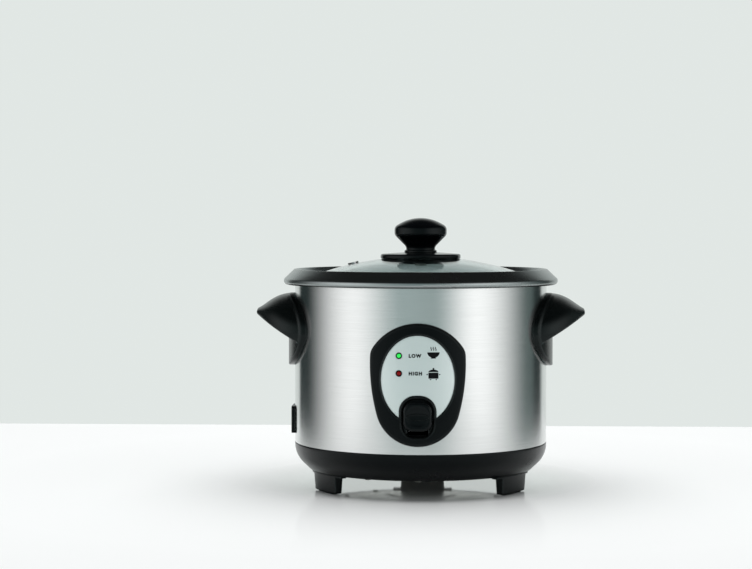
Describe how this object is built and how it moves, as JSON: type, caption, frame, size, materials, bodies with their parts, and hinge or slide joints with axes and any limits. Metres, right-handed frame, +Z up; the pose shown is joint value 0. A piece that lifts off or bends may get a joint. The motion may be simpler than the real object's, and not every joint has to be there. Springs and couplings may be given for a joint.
{
  "type": "rice cooker",
  "caption": "Drum rice cooker with a brushed steel shell, hood handles, domed glass lid with bulb knob, lift-out pot and a rocking cook lever that lifts a thermostat magnet.",
  "frame": {"origin": "on the axis of the drum, on the surface the feet stand on", "axes": "+Z up, -Y towards the front with the panel, +X to the right when facing the panel"},
  "size_m": [0.2908, 0.2436, 0.2393],
  "materials": {
    "charcoal_coat": "charcoal metal-look coat, fine grain",
    "textured_black": "fine grain",
    "brushed_shell": "brushed around the drum",
    "satin_black": "satin",
    "plated_steel": "zinc plated",
    "pad_rubber": "matt",
    "liner_sheet": "mill",
    "mica_band": "matt",
    "pot_metal": "satin",
    "cast_plate": "turned casting",
    "ceramic_white": "glazed",
    "clear_glass": "clear",
    "bright_rim": "bright",
    "vent_steel": "bright",
    "gloss_black": "gloss",
    "bezel_black": "satin",
    "silver_plate": "fine silver",
    "green_lens": "translucent",
    "red_lens": "translucent",
    "board_green": "lacquered",
    "pin_brass": "bright",
    "sensor_metal": "satin",
    "ferrite_grey": "matt",
    "spring_steel": "drawn wire",
    "switch_black": "moulded",
    "switch_red": "moulded"
  },
  "bodies": {
    "housing": {"top_ring": "charcoal_coat", "outer_shell": "brushed_shell", "base_bowl": "satin_black", "bottom_cover": "plated_steel", "foot_rear": "satin_black", "foot_front_left": "satin_black", "foot_front_right": "satin_black", "foot_pads": "pad_rubber", "right_handle": "textured_black", "left_handle": "textured_black", "handle_screws": "plated_steel", "inner_liner": "liner_sheet", "warming_band": "mica_band", "heating_plate": "cast_plate", "heater_terminals": "ceramic_white", "heater_posts": "plated_steel", "heater_screws": "plated_steel", "tie_rods": "plated_steel", "base_screws": "plated_steel", "thermal_fuse": "ceramic_white", "panel_bezel": "bezel_black", "panel_plate": "silver_plate", "warm_lamp": "green_lens", "cook_lamp": "red_lens", "lamp_collars": "gloss_black", "lamp_board": "board_green", "power_inlet": "satin_black", "inlet_pins": "pin_brass", "sensor_retainer": "plated_steel", "lever_bracket": "plated_steel", "lever_pin": "plated_steel", "micro_switch": "switch_black"},
    "pot": {"inner_pot": "pot_metal"},
    "lid": {"lid_glass": "clear_glass", "lid_rim_band": "bright_rim", "vent_grommet": "vent_steel", "knob_disc": "gloss_black", "lid_knob": "gloss_black", "knob_washer": "pad_rubber", "knob_screw": "plated_steel"},
    "cook_lever": {"lever_arm": "plated_steel", "lever_paddle": "gloss_black"},
    "magnet": {"sensor_magnet": "ferrite_grey", "pull_rod": "plated_steel", "magnet_spring": "spring_steel"},
    "plunger": {"switch_plunger": "switch_red"},
    "sensor": {"sensor_cup": "sensor_metal", "sensor_ferrite": "ferrite_grey", "sensor_spring": "spring_steel"}
  },
  "joints": [
    {"name": "pot_lift", "type": "slide", "parent": "housing", "child": "pot", "axis": [0, 0, 1], "range_m": [0, 0.15]},
    {"name": "lid_lift", "type": "slide", "parent": "pot", "child": "lid", "axis": [0, 0, 1], "range_m": [0, 0.12]},
    {"name": "lever_press", "type": "hinge", "parent": "housing", "child": "cook_lever", "pos_m": [0, -0.062, 0.06], "axis": [1, 0, 0], "range_deg": [0, 5], "stiffness_Nm_per_rad": 0.6, "springref_deg": -8.59},
    {"name": "magnet_rise", "type": "slide", "parent": "housing", "child": "magnet", "axis": [0, 0, 1], "range_m": [0, 0.0056], "deforming": ["magnet_spring"]},
    {"name": "plunger_press", "type": "slide", "parent": "housing", "child": "plunger", "axis": [0, 0, 1], "range_m": [0, 0.0016]},
    {"name": "sensor_rise", "type": "slide", "parent": "housing", "child": "sensor", "axis": [0, 0, 1], "range_m": [0, 0.0031], "deforming": ["sensor_spring"]}
  ],
  "couplings": [
    {"joint": "magnet_rise", "follows": "lever_press", "m_per_rad": 0.062},
    {"joint": "plunger_press", "follows": "lever_press", "m_per_rad": 0.017},
    {"joint": "sensor_rise", "follows": "pot_lift", "ratio": 0.02}
  ]
}
